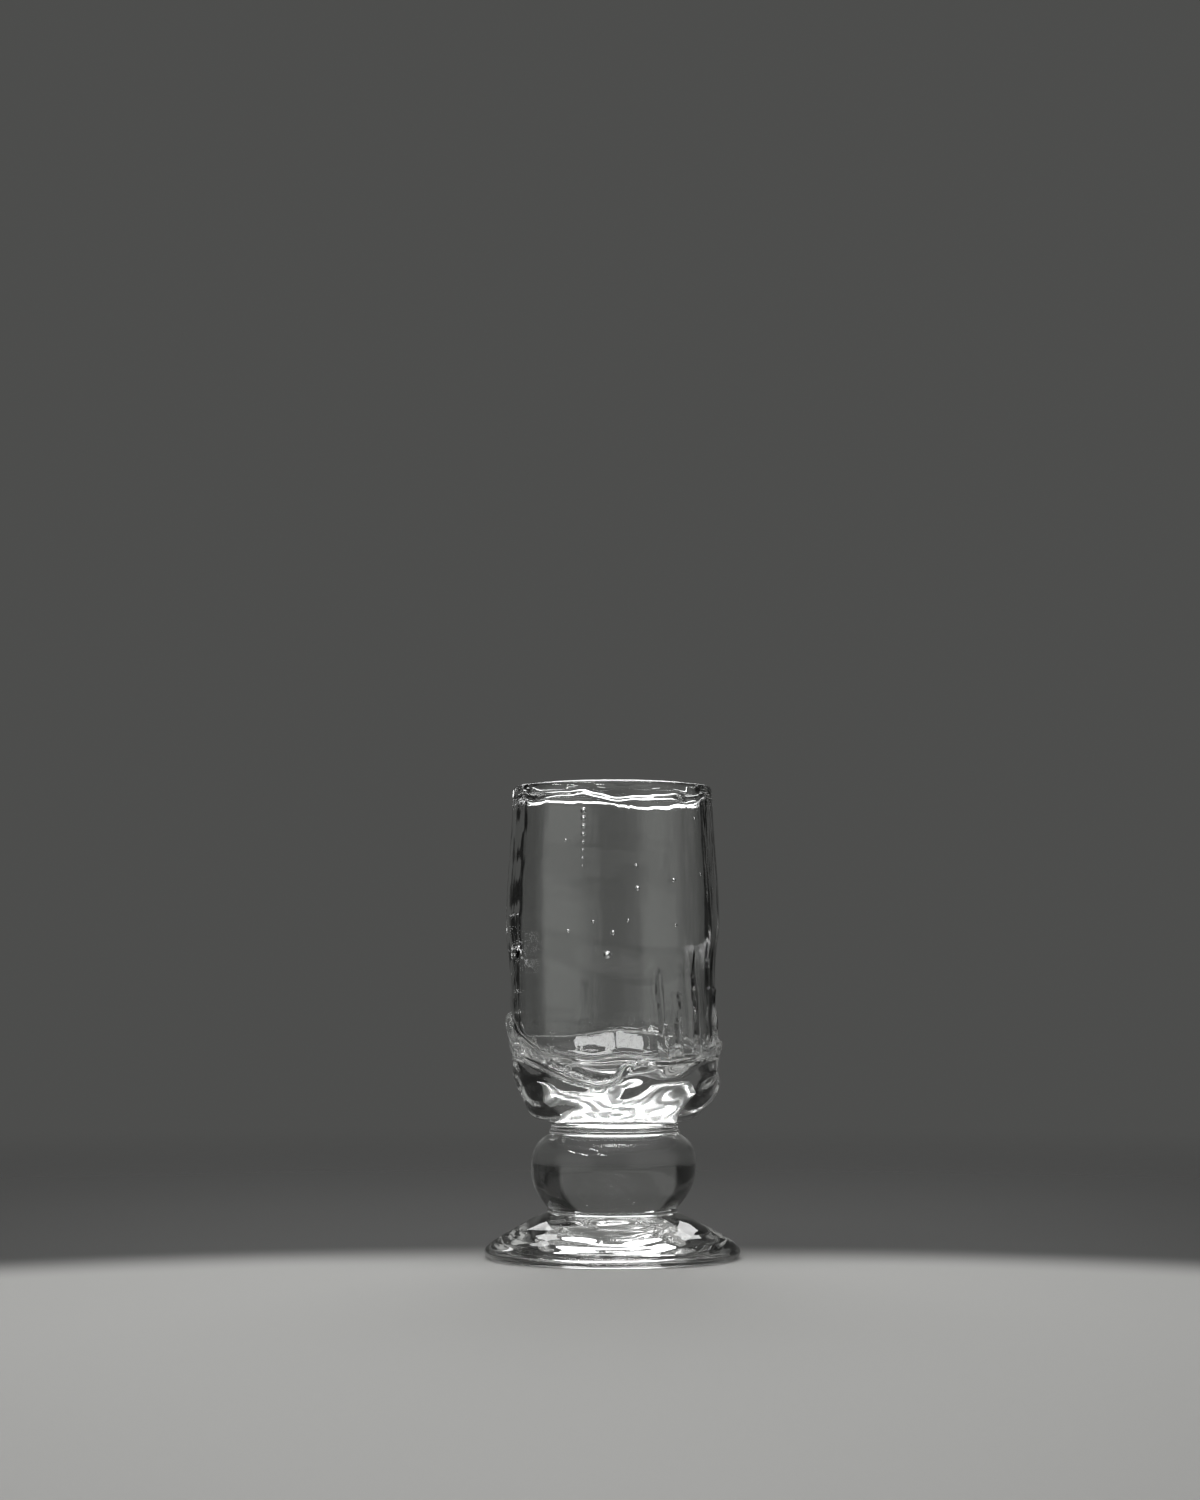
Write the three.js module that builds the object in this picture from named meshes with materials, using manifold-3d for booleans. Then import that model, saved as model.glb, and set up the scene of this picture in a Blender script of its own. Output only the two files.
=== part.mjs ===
// Footed drinking glass of clear, hand-worked glass, built up hot from separate gathers and bits:
// a spread foot, a thin merese, a flattened ball knop, a second merese, a jacket of glass gathered
// over the lower bowl, the thick-walled bowl itself, and the trails and tears laid on its wall.
// Millimetres, +Z up. The origin is on the table under the middle of the foot.
// A bearing is an angle in degrees about the upright axis: 0 faces the front (-Y), 90 the right (+X).

import * as THREE from "three";
import { LoftGeometry } from "three/addons/geometries/LoftGeometry.js";
import { mergeVertices } from "three/addons/utils/BufferGeometryUtils.js";
import Module from "manifold-3d";

const { degToRad, lerp, smoothstep } = THREE.MathUtils;

// Foot: a low cone, hollowed a little underneath, that stands on a flat ring
const FOOT_DIAMETER = 76;
const FOOT_HEIGHT = 13.2;
const FOOT_EDGE_THICKNESS = 3.4;
const FOOT_EDGE_ROLL = 60;
const FOOT_SWELL = 0.9;
const STANDING_RING_WIDTH = 5;
const FOOT_KICK = 1.6;
const PONTIL_DIAMETER = 15;
const PONTIL_DEPTH = 0.5;

// Stem: two mereses with the ball knop between them, joined across the same diameter.
// The upper one is inset a little from the base of the jacket that it carries.
const STEM_DIAMETER = 37.6;
const LOWER_MERESE_HEIGHT = 1;
const LOWER_MERESE_OVERHANG = 0.6;
const KNOP_DIAMETER = 49.2;
const KNOP_HEIGHT = 22.4;
const UPPER_MERESE_HEIGHT = 3.4;
const UPPER_MERESE_LIP = 1.2;
const UPPER_MERESE_INSET = 0.2;

// Jacket: the second gather, a cup round the foot of the bowl
const JACKET_DIAMETER = 61.4;
const JACKET_BASE_DIAMETER = 39.4;
const JACKET_SHOULDER = 16.8;
const JACKET_FLOOR = 4.5;
const JACKET_EDGE = 0.8;

// Its uneven lip, as bearing and height above the base of the jacket
const LIP = [
  [-135, 25],
  [-105, 27],
  [-86, 30],
  [-76, 25.5],
  [-64, 20.5],
  [-44, 17],
  [-22, 13.4],
  [-7, 12.4],
  [0, 13.9],
  [5, 16.8],
  [14, 18.4],
  [33, 18.8],
  [50, 19.6],
  [70, 22],
  [90, 22.8],
  [135, 24.3],
  [180, 26],
];

// Bowl: heights are above its own base
const BOWL_HEIGHT = 95;
const BOWL_BASE_DIAMETER = 20;
const BOWL_CORNER = 20;
const BOWL_WAIST_DIAMETER = 61;
const BOWL_WAIST_TOP = 38;
const BOWL_BELLY_DIAMETER = 63.2;
const BOWL_BELLY_BOTTOM = 52;
const BOWL_BELLY_TOP = 54;
const BOWL_RIM_DIAMETER = 59;
const BOWL_RIM_THICKNESS = 4;
const CAVITY_FLOOR = 9;
const CAVITY_LAND_DIAMETER = 18;
const CAVITY_CORNER = 18;
const CAVITY_DIAMETER = 55.8;

// The bowl and its jacket sit a little to the right of the stem and come back over it higher up
const LEAN = 1.5;
const LEAN_BASE = 0.6;
const LEAN_FULL = 6;
const LEAN_END = 40;

// Trails lie along the lip of the jacket, from one bearing to another, thick or thin at their ends
const LIP_TRAIL = { fromBearing: -93, toBearing: 6.5, startRadius: 2, endRadius: 1.3 };
const SIDE_TRAIL = { fromBearing: 12, toBearing: 80, startRadius: 0.9, endRadius: 1.7 };

// Tears stand on the wall of the bowl above the side trail, each drawn out upwards
const TEAR_1 = { bearing: 27, length: 25, radius: 1.6 };
const TEAR_2 = { bearing: 38, length: 17, radius: 1.5 };
const TEAR_3 = { bearing: 52, length: 29, radius: 1.9 };
const TEAR_4 = { bearing: 75, length: 15, radius: 2.1 };
const TEAR_TIP = 0.45;

// How far a trail or tear stands out from half sunk in its wall, as a part of its radius
const BEAD_STANDOFF = 0.35;

// Welded pieces are kept this far apart, less on flat seats
const WELD_GAP = 0.3;
const SEAT_GAP = 0.05;

// How finely round things are cut into facets
const SEGMENTS = 48;
const CORNER_STEPS = 6;
const WALL_STEPS = 8;
const RIM_STEPS = 4;
const FOOT_EDGE_STEPS = 5;
const KNOP_STEPS = 10;
const BEAD_SIDES = 8;
const BEAD_STEP = 2.6;
const BEAD_ROUNDING = 3;
const TRAIL_STEP_DEGREES = 4;

// Where each piece starts, from the table up
const LOWER_MERESE_LEVEL = FOOT_HEIGHT + SEAT_GAP;
const KNOP_LEVEL = LOWER_MERESE_LEVEL + LOWER_MERESE_HEIGHT + SEAT_GAP;
const UPPER_MERESE_LEVEL = KNOP_LEVEL + KNOP_HEIGHT + SEAT_GAP;
const JACKET_LEVEL = UPPER_MERESE_LEVEL + UPPER_MERESE_HEIGHT + SEAT_GAP;

const wasm = await Module();
wasm.setup();

// Shares from 0 to 1 in equal steps, both ends included
function shares(steps) {
  return Array.from({ length: steps + 1 }, (_, i) => i / steps);
}

// The point at a bearing, a distance from the axis and a height
function spot(bearing, radius, height) {
  const angle = degToRad(bearing);
  return new THREE.Vector3(radius * Math.sin(angle), -radius * Math.cos(angle), height);
}

// Radius at a height on a corner that rounds out from a flat land to its full radius
function cornerRadius(land, full, corner, height) {
  const drop = (corner - Math.min(Math.max(height, 0), corner)) / corner;
  return land + (full - land) * Math.sqrt(1 - drop * drop);
}

// Heights that crowd together towards the flat end of a rounded corner
function cornerHeight(corner, share) {
  return corner * (1 - Math.cos((share * Math.PI) / 2));
}

// How far the axis of the bowl and jacket lies to the right, at a height above the jacket's base
function lean(height) {
  const rise = smoothstep(height, 0, LEAN_FULL);
  const fall = smoothstep(height, LEAN_FULL, LEAN_END);
  return lerp(LEAN_BASE, LEAN, rise) - LEAN * fall;
}

// The point at a bearing on the bowl or jacket, at a height above the jacket's base
function leaningSpot(bearing, radius, height) {
  const point = spot(bearing, radius, height);
  point.x += lean(height);
  return point;
}

// Outside of the bowl, at a height above its base
function bowlRadius(height) {
  const waist = BOWL_WAIST_DIAMETER / 2;
  const belly = BOWL_BELLY_DIAMETER / 2;
  const rim = BOWL_RIM_DIAMETER / 2;
  const corner = cornerRadius(BOWL_BASE_DIAMETER / 2, waist, BOWL_CORNER, height);
  const swell = (belly - waist) * smoothstep(height, BOWL_WAIST_TOP, BOWL_BELLY_BOTTOM);
  const taper = (belly - rim) * smoothstep(height, BOWL_BELLY_TOP, BOWL_HEIGHT);
  return corner + swell - taper;
}

// Inside of the bowl, at a height above its base
function cavityRadius(height) {
  const full = CAVITY_DIAMETER / 2;
  const mouth = BOWL_RIM_DIAMETER / 2 - BOWL_RIM_THICKNESS;
  const top = CAVITY_FLOOR + CAVITY_CORNER;
  const corner = cornerRadius(CAVITY_LAND_DIAMETER / 2, full, CAVITY_CORNER, height - CAVITY_FLOOR);
  const climb = Math.max(0, (height - top) / (BOWL_HEIGHT - top));
  return corner - (full - mouth) * climb * climb;
}

// Seat of the bowl in the jacket, at a height above the jacket's base
function seatRadius(height) {
  const above = height - JACKET_FLOOR;
  if (above > BOWL_CORNER + WELD_GAP) return bowlRadius(above - WELD_GAP) + WELD_GAP;
  const full = BOWL_WAIST_DIAMETER / 2 + WELD_GAP;
  return cornerRadius(BOWL_BASE_DIAMETER / 2, full, BOWL_CORNER + WELD_GAP, above);
}

// Outside of the jacket, at a height above its base
function jacketRadius(height) {
  const cup = cornerRadius(JACKET_BASE_DIAMETER / 2, JACKET_DIAMETER / 2, JACKET_SHOULDER, height);
  if (height < JACKET_FLOOR) return cup;
  return Math.max(cup, seatRadius(height) + JACKET_EDGE);
}

// The lip's height above the base of the jacket runs smoothly through its points and all the way round
const lipRounds = [-360, 0, 360].flatMap((turn) => LIP.map(([bearing, height]) => [bearing + turn, height]));
const lipCurve = new THREE.CubicInterpolant(
  lipRounds.map(([bearing]) => bearing),
  lipRounds.map(([, height]) => height),
  1,
);

function lipHeight(bearing) {
  const turned = ((((bearing + 180) % 360) + 360) % 360) - 180;
  return lipCurve.evaluate(turned)[0];
}

// A solid turned about the upright axis from an outline that starts and ends on it
function turned(outline) {
  return new THREE.LatheGeometry(outline, SEGMENTS).rotateX(Math.PI / 2);
}

// One ring of a leaning body: its radius and height may change with the bearing
function ring(radiusAt, heightAt) {
  return shares(SEGMENTS)
    .slice(0, SEGMENTS)
    .map((share) => {
      const bearing = share * 360 - 180;
      const height = heightAt(bearing);
      return leaningSpot(bearing, radiusAt(height), height);
    });
}

// A leaning body through rings, closed on its axis at the first and last height
function leaning(rings, firstHeight, lastHeight) {
  const first = ring(() => 0, () => firstHeight);
  const last = ring(() => 0, () => lastHeight);
  return new LoftGeometry([first, ...rings, last]);
}

function footGeometry() {
  const edge = FOOT_DIAMETER / 2;
  const neck = STEM_DIAMETER / 2;
  const rounding = FOOT_EDGE_THICKNESS / 2;
  const pontil = PONTIL_DIAMETER / 2;
  const ringOut = edge - rounding;
  const ringIn = ringOut - STANDING_RING_WIDTH;
  const roll = degToRad(FOOT_EDGE_ROLL);
  const edgeArc = new THREE.EllipseCurve(ringOut, rounding, rounding, rounding, -Math.PI / 2, roll);
  const shoulder = edgeArc.getPoint(1);
  const top = new THREE.Vector2(neck, FOOT_HEIGHT);
  const swollen = shoulder.clone().lerp(top, 0.5).add(new THREE.Vector2(FOOT_SWELL, 2 * FOOT_SWELL));
  const cone = new THREE.QuadraticBezierCurve(shoulder, swollen, top);
  return turned([
    new THREE.Vector2(0, FOOT_KICK + PONTIL_DEPTH),
    new THREE.Vector2(pontil - PONTIL_DEPTH, FOOT_KICK + PONTIL_DEPTH),
    new THREE.Vector2(pontil, FOOT_KICK),
    new THREE.Vector2(ringIn, 0),
    ...edgeArc.getPoints(FOOT_EDGE_STEPS),
    ...cone.getPoints(CORNER_STEPS).slice(1),
    new THREE.Vector2(0, FOOT_HEIGHT),
  ]);
}

function lowerMereseGeometry() {
  const rounding = LOWER_MERESE_HEIGHT / 2;
  const land = STEM_DIAMETER / 2 + LOWER_MERESE_OVERHANG - rounding;
  const edge = new THREE.EllipseCurve(land, rounding, rounding, rounding, -Math.PI / 2, Math.PI / 2);
  return turned([
    new THREE.Vector2(0, 0),
    ...edge.getPoints(RIM_STEPS),
    new THREE.Vector2(0, LOWER_MERESE_HEIGHT),
  ]);
}

function knopGeometry() {
  const full = KNOP_DIAMETER / 2;
  const land = STEM_DIAMETER / 2;
  const half = KNOP_HEIGHT / 2;
  const end = Math.acos(land / full);
  const side = new THREE.EllipseCurve(0, half, full, half / Math.sin(end), -end, end);
  return turned([new THREE.Vector2(0, 0), ...side.getPoints(KNOP_STEPS), new THREE.Vector2(0, KNOP_HEIGHT)]);
}

function upperMereseGeometry() {
  const rounding = UPPER_MERESE_LIP / 2;
  const stem = STEM_DIAMETER / 2;
  const land = JACKET_BASE_DIAMETER / 2 - UPPER_MERESE_INSET - rounding;
  const lip = new THREE.EllipseCurve(land, rounding, rounding, rounding, -Math.PI / 2, Math.PI / 2);
  const neck = new THREE.QuadraticBezierCurve(
    new THREE.Vector2(stem, UPPER_MERESE_LIP),
    new THREE.Vector2(stem, UPPER_MERESE_HEIGHT),
    new THREE.Vector2(JACKET_BASE_DIAMETER / 2, UPPER_MERESE_HEIGHT),
  );
  return turned([
    new THREE.Vector2(0, 0),
    ...lip.getPoints(RIM_STEPS),
    ...neck.getPoints(RIM_STEPS),
    new THREE.Vector2(0, UPPER_MERESE_HEIGHT),
  ]);
}

// Rings up the outside of the jacket to its lip, grown outwards for what is laid on it
function jacketOutside(growth) {
  return shares(WALL_STEPS).map((share) => {
    const part = cornerHeight(1, share);
    return ring((height) => jacketRadius(height) + growth, (bearing) => part * (lipHeight(bearing) + growth));
  });
}

function jacketGeometry() {
  const inside = shares(WALL_STEPS)
    .reverse()
    .map((share) => {
      const part = cornerHeight(1, share);
      return ring(seatRadius, (bearing) => lerp(JACKET_FLOOR, lipHeight(bearing), part));
    });
  return leaning([...jacketOutside(0), ...inside], 0, JACKET_FLOOR);
}

// Rings up the outside of the bowl to just under its rim, grown outwards for what is laid on it.
// Their heights are above the base of the jacket.
function bowlOutside(growth) {
  const base = JACKET_FLOOR + WELD_GAP;
  const corner = shares(CORNER_STEPS).map((share) => cornerHeight(BOWL_CORNER, share));
  const wallTop = BOWL_HEIGHT - BOWL_RIM_THICKNESS / 2;
  const wall = shares(WALL_STEPS).map((share) => lerp(BOWL_CORNER, wallTop, share));
  return [...corner, ...wall.slice(1)].map((above) =>
    ring((height) => bowlRadius(height - base) + growth, () => base + above),
  );
}

function bowlGeometry() {
  const base = JACKET_FLOOR + WELD_GAP;
  const rounding = BOWL_RIM_THICKNESS / 2;
  const rimMiddle = BOWL_RIM_DIAMETER / 2 - rounding;
  const rim = shares(RIM_STEPS)
    .slice(1)
    .map((share) => {
      const angle = share * Math.PI;
      const radius = rimMiddle + rounding * Math.cos(angle);
      const above = BOWL_HEIGHT - rounding + rounding * Math.sin(angle);
      return ring(() => radius, () => base + above);
    });
  const cavityTop = CAVITY_FLOOR + CAVITY_CORNER;
  const wall = shares(WALL_STEPS)
    .reverse()
    .slice(1)
    .map((share) => lerp(cavityTop, BOWL_HEIGHT - rounding, share));
  const corner = shares(CORNER_STEPS)
    .reverse()
    .slice(1)
    .map((share) => CAVITY_FLOOR + cornerHeight(CAVITY_CORNER, share));
  const inside = [...wall, ...corner].map((above) =>
    ring((height) => cavityRadius(height - base), () => base + above),
  );
  return leaning([...bowlOutside(0), ...rim, ...inside], base, base + CAVITY_FLOOR);
}

// A closed mesh as a solid that can be cut
function solidOf(geometry) {
  const bare = new THREE.BufferGeometry();
  bare.setAttribute("position", geometry.getAttribute("position"));
  bare.setIndex(geometry.index);
  const merged = mergeVertices(bare);
  const vertProperties = merged.getAttribute("position").array;
  const triVerts = new Uint32Array(merged.index.array);
  return new wasm.Manifold(new wasm.Mesh({ numProp: 3, vertProperties, triVerts }));
}

function geometryOf(solid) {
  const { vertProperties, triVerts } = solid.getMesh();
  const geometry = new THREE.BufferGeometry();
  geometry.setAttribute("position", new THREE.BufferAttribute(vertProperties, 3));
  geometry.setIndex(new THREE.BufferAttribute(triVerts, 1));
  geometry.computeVertexNormals();
  return geometry;
}

// The body that trails and tears lie on: the bowl in its jacket, grown by the gap that they keep to it
function wallSolid() {
  const base = JACKET_FLOOR + WELD_GAP;
  const bowl = leaning(bowlOutside(WELD_GAP), base, base + BOWL_HEIGHT);
  const lip = ring((height) => seatRadius(height) - WELD_GAP, (bearing) => lipHeight(bearing) + WELD_GAP);
  const jacket = leaning([...jacketOutside(WELD_GAP), lip], 0, JACKET_FLOOR);
  return solidOf(bowl).add(solidOf(jacket));
}

// A rounded bead of glass along a curve on the wall, from one radius to another, without the wall it lies on
function beadGeometry(path, startRadius, endRadius, wall) {
  const length = path.getLength();
  const radiusAt = (run) => {
    const full = lerp(startRadius, endRadius, run / length);
    const fromEnd = Math.min(run, length - run, full);
    return Math.sqrt(full * full - (full - fromEnd) ** 2);
  };
  const middle = Math.ceil((length - startRadius - endRadius) / BEAD_STEP);
  const runs = [
    ...shares(BEAD_ROUNDING).map((share) => cornerHeight(startRadius, share)),
    ...shares(middle).slice(1, -1).map((share) => lerp(startRadius, length - endRadius, share)),
    ...shares(BEAD_ROUNDING).reverse().map((share) => length - cornerHeight(endRadius, share)),
  ];
  const sections = runs.map((run) => {
    const centre = path.getPointAt(run / length);
    const along = path.getTangentAt(run / length);
    const across = along.clone().cross(new THREE.Vector3(centre.x, centre.y, 0)).normalize();
    const out = across.clone().cross(along);
    return shares(BEAD_SIDES)
      .slice(0, BEAD_SIDES)
      .map((share) => {
        const angle = share * 2 * Math.PI;
        const offset = out.clone().multiplyScalar(Math.cos(angle));
        offset.addScaledVector(across, Math.sin(angle));
        return centre.clone().addScaledVector(offset, radiusAt(run));
      });
  });
  return geometryOf(solidOf(new LoftGeometry(sections)).subtract(wall));
}

// A trail lies on the outer edge of the jacket's lip
function trailGeometry({ fromBearing, toBearing, startRadius, endRadius }, wall) {
  const points = shares(Math.ceil((toBearing - fromBearing) / TRAIL_STEP_DEGREES)).map((share) => {
    const bearing = lerp(fromBearing, toBearing, share);
    const radius = lerp(startRadius, endRadius, share);
    const lip = lipHeight(bearing);
    const sunk = (1 - BEAD_STANDOFF) * radius;
    return leaningSpot(bearing, jacketRadius(lip) - sunk, lip + WELD_GAP + BEAD_STANDOFF * radius);
  });
  return beadGeometry(new THREE.CatmullRomCurve3(points), startRadius, endRadius, wall);
}

// A tear runs straight up the wall of the bowl from just above the side trail
function tearGeometry({ bearing, length, radius }, wall) {
  const bottom = lipHeight(bearing) + 2 * SIDE_TRAIL.endRadius + 2 * WELD_GAP;
  const base = JACKET_FLOOR + WELD_GAP;
  const points = shares(WALL_STEPS).map((share) => {
    const height = bottom + share * length;
    return leaningSpot(bearing, bowlRadius(height - base) + BEAD_STANDOFF * radius, height);
  });
  return beadGeometry(new THREE.CatmullRomCurve3(points), radius, radius * TEAR_TIP, wall);
}

// A named piece of clear glass, at its level above the table
function piece(name, geometry, level) {
  const glass = new THREE.MeshStandardMaterial({ color: 0xe9eeec, roughness: 0.03, metalness: 0 });
  const mesh = new THREE.Mesh(geometry, glass);
  mesh.name = name;
  mesh.position.z = level;
  return mesh;
}

const glass = new THREE.Group();
glass.name = "footed_glass";
glass.add(piece("foot", footGeometry(), 0));
glass.add(piece("lower_merese", lowerMereseGeometry(), LOWER_MERESE_LEVEL));
glass.add(piece("knop", knopGeometry(), KNOP_LEVEL));
glass.add(piece("upper_merese", upperMereseGeometry(), UPPER_MERESE_LEVEL));
glass.add(piece("jacket", jacketGeometry(), JACKET_LEVEL));
glass.add(piece("bowl", bowlGeometry(), JACKET_LEVEL));

const wall = wallSolid();
glass.add(piece("lip_trail", trailGeometry(LIP_TRAIL, wall), JACKET_LEVEL));
glass.add(piece("side_trail", trailGeometry(SIDE_TRAIL, wall), JACKET_LEVEL));
[TEAR_1, TEAR_2, TEAR_3, TEAR_4].forEach((tear, i) => {
  glass.add(piece(`tear_${i + 1}`, tearGeometry(tear, wall), JACKET_LEVEL));
});

export default glass;
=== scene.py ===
import math

import bmesh
import bpy
import numpy as np
from mathutils import Matrix, Vector


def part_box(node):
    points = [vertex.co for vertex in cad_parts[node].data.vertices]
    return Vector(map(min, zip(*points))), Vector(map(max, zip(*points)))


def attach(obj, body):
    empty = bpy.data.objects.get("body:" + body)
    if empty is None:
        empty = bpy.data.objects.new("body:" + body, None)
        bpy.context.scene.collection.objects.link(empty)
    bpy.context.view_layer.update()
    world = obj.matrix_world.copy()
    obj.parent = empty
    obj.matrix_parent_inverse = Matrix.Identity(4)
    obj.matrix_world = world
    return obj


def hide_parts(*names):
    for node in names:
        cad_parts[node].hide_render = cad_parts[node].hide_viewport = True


# A footed glass of clear, hand-worked glass. Every solid of the frame gets a fine skin of its own.
# The skins that are welded together on the real glass meet in the very same faces, and those faces
# carry a seam material that lets light straight through, so the pieces look like one body of glass.
# Sizes are millimetres until a mesh is made. A bearing is an angle about the upright axis: 0 faces
# the front (-Y) and 90 degrees the right (+X).

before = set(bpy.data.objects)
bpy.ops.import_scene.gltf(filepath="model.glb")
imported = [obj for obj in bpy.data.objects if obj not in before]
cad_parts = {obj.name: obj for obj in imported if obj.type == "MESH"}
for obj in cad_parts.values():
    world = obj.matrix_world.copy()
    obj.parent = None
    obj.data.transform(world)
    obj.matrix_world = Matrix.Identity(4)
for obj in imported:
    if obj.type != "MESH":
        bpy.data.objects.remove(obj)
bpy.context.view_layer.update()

MM = 0.001


def level(node, end):
    """Height of a node's lowest (0) or highest (1) point, in millimetres."""
    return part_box(node)[end][2] / MM


def weld_level(lower, upper):
    """Height of the plane in which two stacked nodes are welded."""
    return (level(lower, 1) + level(upper, 0)) / 2


# Levels and sizes that the frame gives
FOOT_TOP = weld_level("foot", "lower_merese")
KNOP_BASE = weld_level("lower_merese", "knop")
KNOP_TOP = weld_level("knop", "upper_merese")
JACKET_BASE = weld_level("upper_merese", "jacket")
BOWL_BASE = level("bowl", 0)
RIM_TOP = level("bowl", 1)
FOOT_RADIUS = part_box("foot")[1][0] / MM
KNOP_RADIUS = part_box("knop")[1][0] / MM

# Unevenness of hand work. Waves are rows of size, times round, turn per millimetre of height and phase.
# Level rings are bent up and down by waves of their own. A waver is the size and the phase of slow
# waves that all pieces share, and the last number of each slow wave is a factor for that phase.
SLOW_WAVES = [(0.5, 2, 0.03, 1.0), (0.3, 3, -0.05, 2.1), (0.2, 5, 0.08, 3.7)]

# Foot
FOOT_EDGE_ROUNDING = 1.7
FOOT_EDGE_ROLL = math.radians(60)
FOOT_SWELL = 0.9
STANDING_RING_WIDTH = 5.0
FOOT_KICK = 1.6
FOOT_KICK_RISE = 3.0
PONTIL_RADIUS = 7.5
PONTIL_DEPTH = 0.5
# Ripples of its slope: heights between which they set in, and the height over which they end at its top
FOOT_RIPPLE_START = (2.4, 5.0)
FOOT_RIPPLE_END = 2.0
FOOT_WAVER = (0.5, 5.2)
FOOT_RINGS = {"size": 0.05, "rise": 2.9, "bends": [(1.5, 2, 0, 0), (0.7, 5, 0, 0)]}
FOOT_SWIRL = [(0.3, 6, -0.7, 2.0), (0.12, 11, 0.6, 1.0)]
# Ripples in the hollow under it, up to a height: they set in at the standing ring and end at the pontil
HOLLOW_TOP = 2.3
HOLLOW_START = 5.0
HOLLOW_END = 4.0
HOLLOW_WAVER = (0.22, 1.1)
HOLLOW_RINGS = {"size": 0.08, "rise": 1.1, "bends": []}
# The slow waves change so many times quicker along the foot than elsewhere
FOOT_QUICKER = 9

# Stem: the knop is fuller above its widest level than below
STEM_RADIUS = 18.8
KNOP_WIDEST = 26.4
KNOP_LOWER_CURVE = 2.0
KNOP_UPPER_CURVE = 3.0
LOWER_MERESE_OVERHANG = 0.6
UPPER_MERESE_LIP = 1.2
UPPER_MERESE_INSET = 0.2
LOWER_MERESE_WAVER = (0.05, 0.4)
KNOP_WAVER = (0.2, 1.3)
UPPER_MERESE_WAVER = (0.05, 2.2)
STEM_FADE = 3.0

# Jacket: the lip is given as bearing in degrees and height above the jacket's base
JACKET_RADIUS = 30.7
JACKET_BASE_RADIUS = 19.7
JACKET_SHOULDER = 16.8
JACKET_EDGE = 1.1
JACKET_EDGE_ROUNDING = 1.6
LIP = [
    (-135, 25), (-105, 27), (-86, 30), (-76, 25.5), (-64, 20.5), (-44, 17), (-22, 13.4), (-7, 12.4),
    (0, 13.9), (5, 16.8), (14, 18.4), (33, 18.8), (50, 19.6), (70, 22), (90, 22.8), (135, 24.3), (180, 26),
]
# Slanting waves of its flow, which set in under the lip and over the base
JACKET_FLOW = [(0.32, 5, 0.36, 1.0), (0.22, 8, -0.5, 2.0)]
FLOW_UNDER_LIP = (2.0, 8.0)
FLOW_OVER_BASE = 5.0

# Bowl: heights are above its base
BOWL_BASE_RADIUS = 10.0
BOWL_CORNER = 20.0
BOWL_WAIST_RADIUS = 30.5
BOWL_WAIST_TOP = 38.0
BOWL_BELLY_RADIUS = 31.6
BOWL_BELLY_BOTTOM = 52.0
BOWL_BELLY_TOP = 54.0
BOWL_RIM_RADIUS = 29.5
BOWL_RIM_THICKNESS = 4.0
BOWL_WAVER = (0.22, 0.7)
# The level at which the waist swells out wanders up and down on its way round
BOWL_DRIFT = [(2.5, 2, 0, 0.5), (1.5, 3, 0, 1.0)]
# Rim: a sharper corner outside, then a slope up to the crown
RIM_OUTER_ROUNDING = 3.0
RIM_INNER_ROUNDING = 3.0
RIM_SLOPE = 0.85
RIM_SLOPE_CURVE = 1.4
RIM_EDGE_WIDTH = 0.8
# Bead inside the rim, from its top down, with waves in the lower edge and ripples in patches. The patches
# are the product of two waves.
RIM_BEAD_HEIGHT = 4.6
RIM_BEAD_DEPTH = 1.25
RIM_BEAD_STEP = 1.05
RIM_BEAD_EDGE = [(0.75, 3, 0, 0.4), (0.5, 7, 0, 1.2), (0.22, 13, 0, 2.0), (0.1, 24, 0, 0)]
RIM_RIPPLES = {"size": 0.14, "rise": 2.4, "bends": [(1.5, 4, 0, 0), (0.8, 9, 0, 1.0)]}
RIM_RIPPLE_START = 1.0
RIM_PATCHES = [(1.0, 5, 0, 1.0), (1.0, 13, 0, 0)]

# Hollow of the bowl: heights are above the bowl's base
CAVITY_FLOOR = 9.0
CAVITY_LAND_RADIUS = 4.0
CAVITY_CORNER = 17.0
CAVITY_RADIUS = 27.9
CAVITY_WAVER = (0.25, 2.6)
CAVITY_RIBS = [(0.08, 9, 0.02, 0.6), (0.05, 17, 0, 1.9)]
# Level ripples: the short ones come and go with height, and the right side keeps only the least share
LONG_RIPPLES = {"size": 0.13, "rise": 0.53, "bends": [(1.3, 2, 0, 0)]}
SHORT_RIPPLES = {"size": 0.07, "rise": 1.21, "bends": [(1.0, 3, 0, 0)], "phase": 0.8}
SHORT_RIPPLE_BEAT = 0.17
RIPPLE_LEAST = 0.15
# Height of the hollow's rounded corner: bearing in degrees and height
CORNER = [
    (-150, 15), (-120, 12), (-95, 14), (-70, 14), (-48, 10), (-30, 8.5), (-12, 7.5), (5, 9), (22, 8),
    (40, 11), (60, 9), (85, 14), (115, 12), (140, 15), (160, 16.5), (172, 14.5), (195, 16.5),
]
# Flats in the back corner: bearing and slope in degrees, and a height above the table with the distance
# from the axis there
FLATS = [(190, 46.5, 62.5, 23.4), (172, 47.5, 60.0, 21.2)]
FLAT_BLEND = 0.25
# Least cosine of the angle to a flat's bearing, which keeps the flat finite beside it
FLAT_LEAST = 0.3
# Round mark in the back wall: bearing in degrees, height above the table
THUMB_MARK = {"bearing": 171.6, "height": 64.8, "radius": 7.0, "depth": 0.8}

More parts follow.
